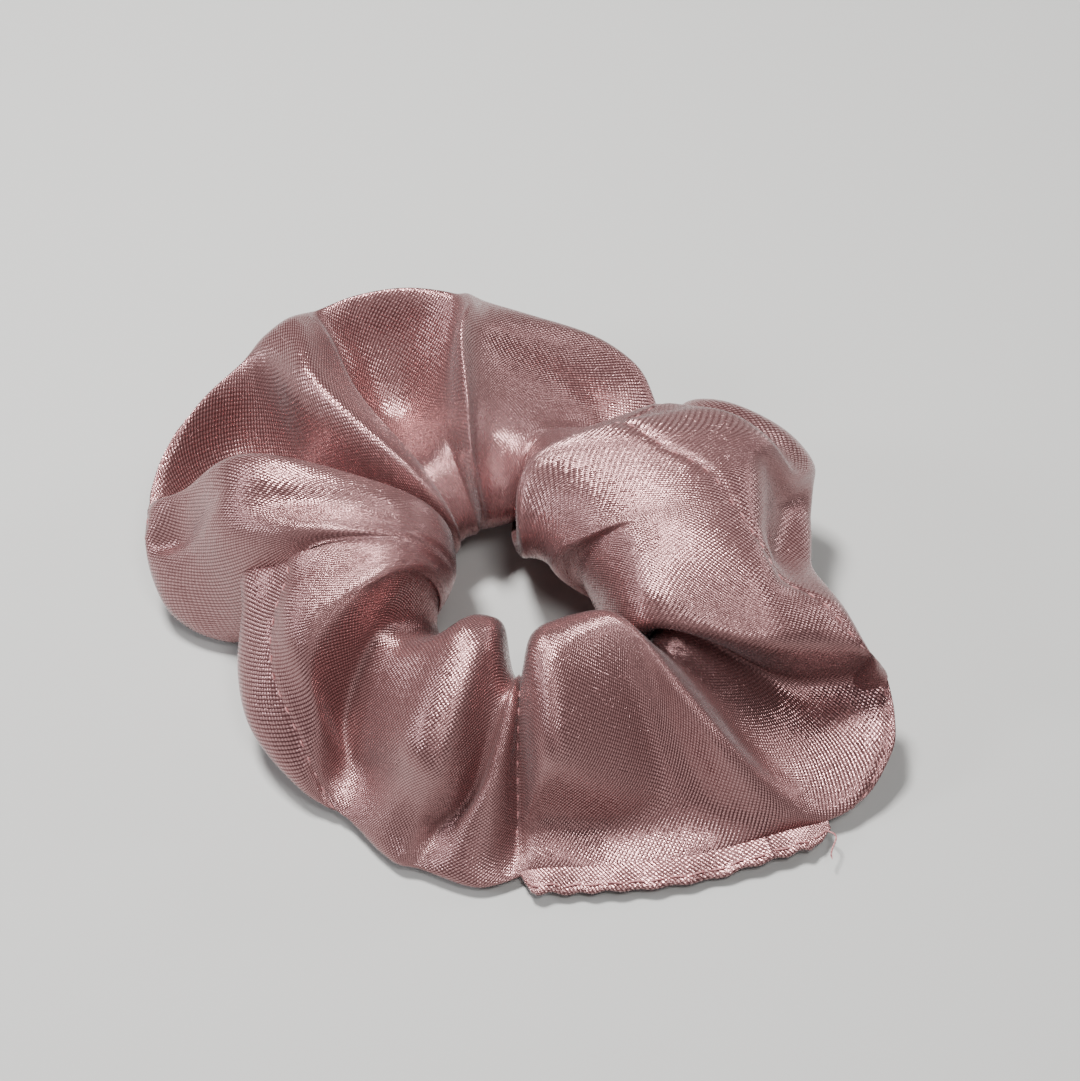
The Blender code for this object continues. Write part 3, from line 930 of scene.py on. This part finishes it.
def lip_piece(cover, span, first, last, satin):
    """Both layers of satin, sewn together flat beyond the tube's edge where the opening was closed."""
    count = max(4, round((last - first) / cover.along * STRIP_LENGTH / LIP_STEP))
    row = np.linspace(first, last, count)
    edge, away, up = lip_frame(cover, row)
    across = np.linspace(-0.35, 1.0, LIP_ACROSS)
    width = lip_width(cover, row)
    wave = lip_wave(cover, row)
    half = LIP_THICKNESS / 2
    sheets = []
    for side in (1, -1):
        share = np.clip(across, 0, 1)
        swell = half * (1 - STITCH_DIP * np.exp(-(((across - STITCH_DIP_PLACE) / STITCH_DIP_WIDTH) ** 2)))
        middle = edge[:, None] + away[:, None] * (width[:, None] * across[None, :])[:, :, None]
        lift = wave[:, None] * share[None, :] + side * swell[None, :]
        sheets.append(middle + up[:, None] * lift[:, :, None])
    loop = np.concatenate([sheets[0], sheets[1][:, ::-1]], axis=1)
    loop[:, :, 2] = np.maximum(loop[:, :, 2], LIP_LOWEST)
    around = loop.shape[1]
    faces = grid_faces(count, around, False, True).tolist()
    last_ring = (count - 1) * around
    faces.append(list(reversed(range(around))))
    faces.append([last_ring + corner for corner in range(around)])
    mesh = bpy.data.meshes.new(f"closing_lip_{span + 1}")
    mesh.from_pydata(loop.reshape(-1, 3).tolist(), [], faces)
    smooth = np.ones(len(faces), bool)
    smooth[-2:] = False
    mesh.polygons.foreach_set("use_smooth", smooth)
    layer = mesh.uv_layers.new(name="strip")
    place = np.repeat(row / cover.along * STRIP_LENGTH, around)
    beside = np.tile(np.concatenate([across, across[::-1]]) * LIP_WIDTH, count)
    for corner in mesh.loops:
        layer.data[corner.index].uv = (place[corner.vertex_index], beside[corner.vertex_index])
    mesh.update()
    piece = add_object(mesh.name, mesh, satin)
    blend_on_span(piece, np.repeat(cover.body_at(row) - span, around))


def topstitch_piece(cover, span, first, last, thread):
    """The topstitching that closes the lip, with the end of thread that was left after the last stitch."""
    row = np.linspace(first, last, 240)
    edge, away, up = lip_frame(cover, row)
    share = 1 - TOPSTITCH_INSET / LIP_WIDTH
    lift = lip_wave(cover, row) * share + LIP_THICKNESS * 0.5
    points = edge + away * (lip_width(cover, row) * share)[:, None] + up * lift[:, None]
    points[:, 2] = np.maximum(points[:, 2], 0.45 * MM)
    found = stitches_along(points, up, TOPSTITCH_LENGTH, TOPSTITCH_GAP, 0.14 * MM)
    tubes = [tube(path, THREAD_RADIUS) for path, _ in found]
    shares = [float(cover.body_at(first + (last - first) * place)) - span for _, place in found]
    if last >= cover.row_of(LIP_END) - 1:
        reach = np.linspace(0, 1, 12)[:, None]
        aside = np.cross(away[-1], up[-1])
        curl = aside * -0.9 * MM * np.sin(reach * 5.0) + up[-1] * 0.8 * MM * np.sin(reach * 3.0)
        tail = found[-1][0][-1] + away[-1] * TAIL_LENGTH * reach + curl
        tail[:, 2] = np.maximum(tail[:, 2], THREAD_RADIUS)
        tubes.append(tube(tail, THREAD_RADIUS * 0.8))
        shares.append(shares[-1])
    thread_piece(f"closing_topstitch_{span + 1}", span, tubes, shares, thread, "closing_topstitch_thread")


def long_seam_piece(cover, span, thread):
    """The machine stitches that show between the two sides of the long seam."""
    row = np.arange(cover.starts[span], cover.starts[span + 1] + 1).astype(float)
    column = cover.seam[row.astype(int) % cover.along]
    points, normals = cover.at(row, column)
    found = stitches_along(points, normals, SEAM_STITCH_LENGTH, SEAM_STITCH_GAP, 0.12 * MM)
    tubes = [tube(path, THREAD_RADIUS * 0.8) for path, _ in found]
    shares = [float(cover.body_at(row[0] + (row[-1] - row[0]) * place)) - span for _, place in found]
    thread_piece(f"long_seam_stitches_{span + 1}", span, tubes, shares, thread, "long_seam_thread")


def cross_seam_piece(cover, thread):
    """The stitches of the seam that joined the strip's two ends into a ring."""
    column = np.arange(cover.around + 1).astype(float)
    points, normals = cover.at(np.zeros(len(column)), column)
    found = stitches_along(points, normals, SEAM_STITCH_LENGTH, SEAM_STITCH_GAP, 0.1 * MM)
    tubes = [tube(path, THREAD_RADIUS * 0.8) for path, _ in found]
    thread_piece("cross_seam_stitches", None, tubes, None, thread, "cross_seam_thread")


def make_cover(satin, thread):
    """The satin cover with everything that is sewn into it."""
    cover = Cover()
    for span in range(GATHER_COUNT):
        cover_piece(cover, span, satin)
        long_seam_piece(cover, span, thread)
    for span, first, last in cover.span_ranges(cover.row_of(LIP_START), cover.row_of(LIP_END)):
        lip_piece(cover, span, first, last, satin)
        topstitch_piece(cover, span, first, last, thread)
    cross_seam_piece(cover, thread)


# ---------------------------------------------------------------- the elastic
def band_strip(start_deg, end_deg):
    """Points of a stretch of the band: closed rectangular loops, about every 3 degrees."""
    count = max(2, round((end_deg - start_deg) / 3.0) + 1)
    angles = np.linspace(start_deg, end_deg, count)
    lap_start = FIRST_GATHER_DEG - BAND_LAP_DEG / 2 + 360.0
    rise = np.clip((angles - (lap_start - BAND_RAMP_DEG)) / BAND_RAMP_DEG, 0, 1)
    radius = BAND_RADIUS / MM + (1 - np.cos(math.pi * rise)) / 2 * BAND_LAP_RISE / MM
    half = BAND_THICKNESS / MM / 2
    rib_count = 13
    heights = np.linspace(-0.5, 0.5, rib_count) * BAND_WIDTH / MM * 0.98
    ribs = np.where(np.arange(rib_count) % 2, 0.0, 0.12)
    loop_radius = np.concatenate([half - ribs, -(half - ribs[::-1])])
    loop_height = np.concatenate([heights, heights[::-1]]) + BAND_HEIGHT / MM
    points = np.empty((count, len(loop_radius), 3))
    for number in range(count):
        loop_angle = angles[number] + 0 * loop_radius
        points[number] = ring_points(loop_angle, radius[number] + loop_radius, loop_height)
    return points, angles


def make_band(elastic):
    """The braided band in eight spans; the first and last hold its lapped ends."""
    lap = BAND_LAP_DEG / 2
    for span in range(GATHER_COUNT):
        start = FIRST_GATHER_DEG + GATHER_STEP_DEG * span
        stretches = [(start, start + GATHER_STEP_DEG)]
        if span == 0:
            stretches.append((start + 360.0, start + 360.0 + lap))
        if span == GATHER_COUNT - 1:
            stretches.append((FIRST_GATHER_DEG - lap, FIRST_GATHER_DEG))
        points, faces, shares, flats, total = [], [], [], [], 0
        for low, high in stretches:
            loops, angles = band_strip(low, high)
            around = loops.shape[1]
            faces.extend(grid_faces(len(loops), around, False, True, first=total).tolist())
            faces.append([total + i for i in range(around)])
            end = total + (len(loops) - 1) * around
            faces.append([end + i for i in reversed(range(around))])
            points.append(loops.reshape(-1, 3))
            wrapped = (angles - start + 180.0) % 360.0 - 180.0
            shares.append(np.repeat(wrapped / GATHER_STEP_DEG, around))
            along = np.repeat(np.radians(angles) * BAND_RADIUS, around)
            across = np.tile(np.arange(around) * BAND_WIDTH / around * 2, len(loops))
            flats.append(np.stack([along, across], axis=1))
            total += len(loops) * around
        name = f"elastic_band_{span + 1}"
        mesh = bpy.data.meshes.new(name)
        mesh.from_pydata(np.concatenate(points).tolist(), [], faces)
        flats = np.concatenate(flats)
        layer = mesh.uv_layers.new(name="strip")
        for loop in mesh.loops:
            layer.data[loop.index].uv = flats[loop.vertex_index]
        piece = add_object(name, mesh, elastic)
        blend_on_span(piece, np.concatenate(shares))
        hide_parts("elastic_band")


# ---------------------------------------------------------------- studio
LIGHTS_AIM = Vector((0, 0, 0.015))


def add_floor():
    material, nodes, links = node_tree("floor")
    nodes["Principled BSDF"].inputs["Base Color"].default_value = (0.45, 0.45, 0.44, 1.0)
    nodes["Principled BSDF"].inputs["Roughness"].default_value = 0.9
    floor = add_object("floor", flat_floor("floor", 3), material)


def add_light(name, place, size, power, colour=(1.0, 1.0, 1.0)):
    light = bpy.data.lights.new(name, "AREA")
    light.size = size
    light.energy = power
    light.color = colour
    obj = add_object(name, light)
    obj.location = place
    obj.rotation_euler = (LIGHTS_AIM - Vector(place)).to_track_quat("-Z", "Y").to_euler()


def add_studio():
    add_floor()
    add_light("overhead", (-0.12, 0.14, 0.50), 0.10, 6.2, (1.0, 0.985, 0.97))
    add_light("window", (-0.42, -0.05, 0.26), 0.12, 1.0, (0.93, 0.96, 1.0))
    add_light("right", (0.40, 0.22, 0.26), 0.10, 0.6)
    add_light("ceiling", (0.08, -0.16, 0.46), 0.10, 1.0, (1.0, 0.99, 0.98))
    add_light("front", (0.06, -0.42, 0.30), 0.22, 0.3, (1.0, 0.97, 0.96))
    world = bpy.data.worlds.new("studio")
    bpy.context.scene.world = world
    world.use_nodes = True
    background = world.node_tree.nodes["Background"]
    background.inputs["Color"].default_value = (0.88, 0.92, 0.95, 1.0)
    background.inputs["Strength"].default_value = 0.08


CAMERA_ELEVATION = math.radians(55)
CAMERA_DISTANCE = 0.32
CAMERA_TARGET = Vector((3.9, 9.0, 13.0)) * MM
CAMERA_ANGLE = math.radians(28.4)


def add_camera():
    camera = bpy.data.cameras.new("camera")
    camera.angle = CAMERA_ANGLE
    obj = add_object("camera", camera)
    back = Vector((0, -math.cos(CAMERA_ELEVATION), math.sin(CAMERA_ELEVATION)))
    obj.location = CAMERA_TARGET + back * CAMERA_DISTANCE
    obj.rotation_euler = (-back).to_track_quat("-Z", "Y").to_euler()
    bpy.context.scene.camera = obj


# ---------------------------------------------------------------- everything
satin = satin_material()
thread = thread_material()
elastic = elastic_material()
make_cover(satin, thread)
make_band(elastic)
add_studio()
add_camera()
join_thread = frame["nodes"]["elastic_join_thread"]
join_thread.data.materials.clear()
join_thread.data.materials.append(thread)
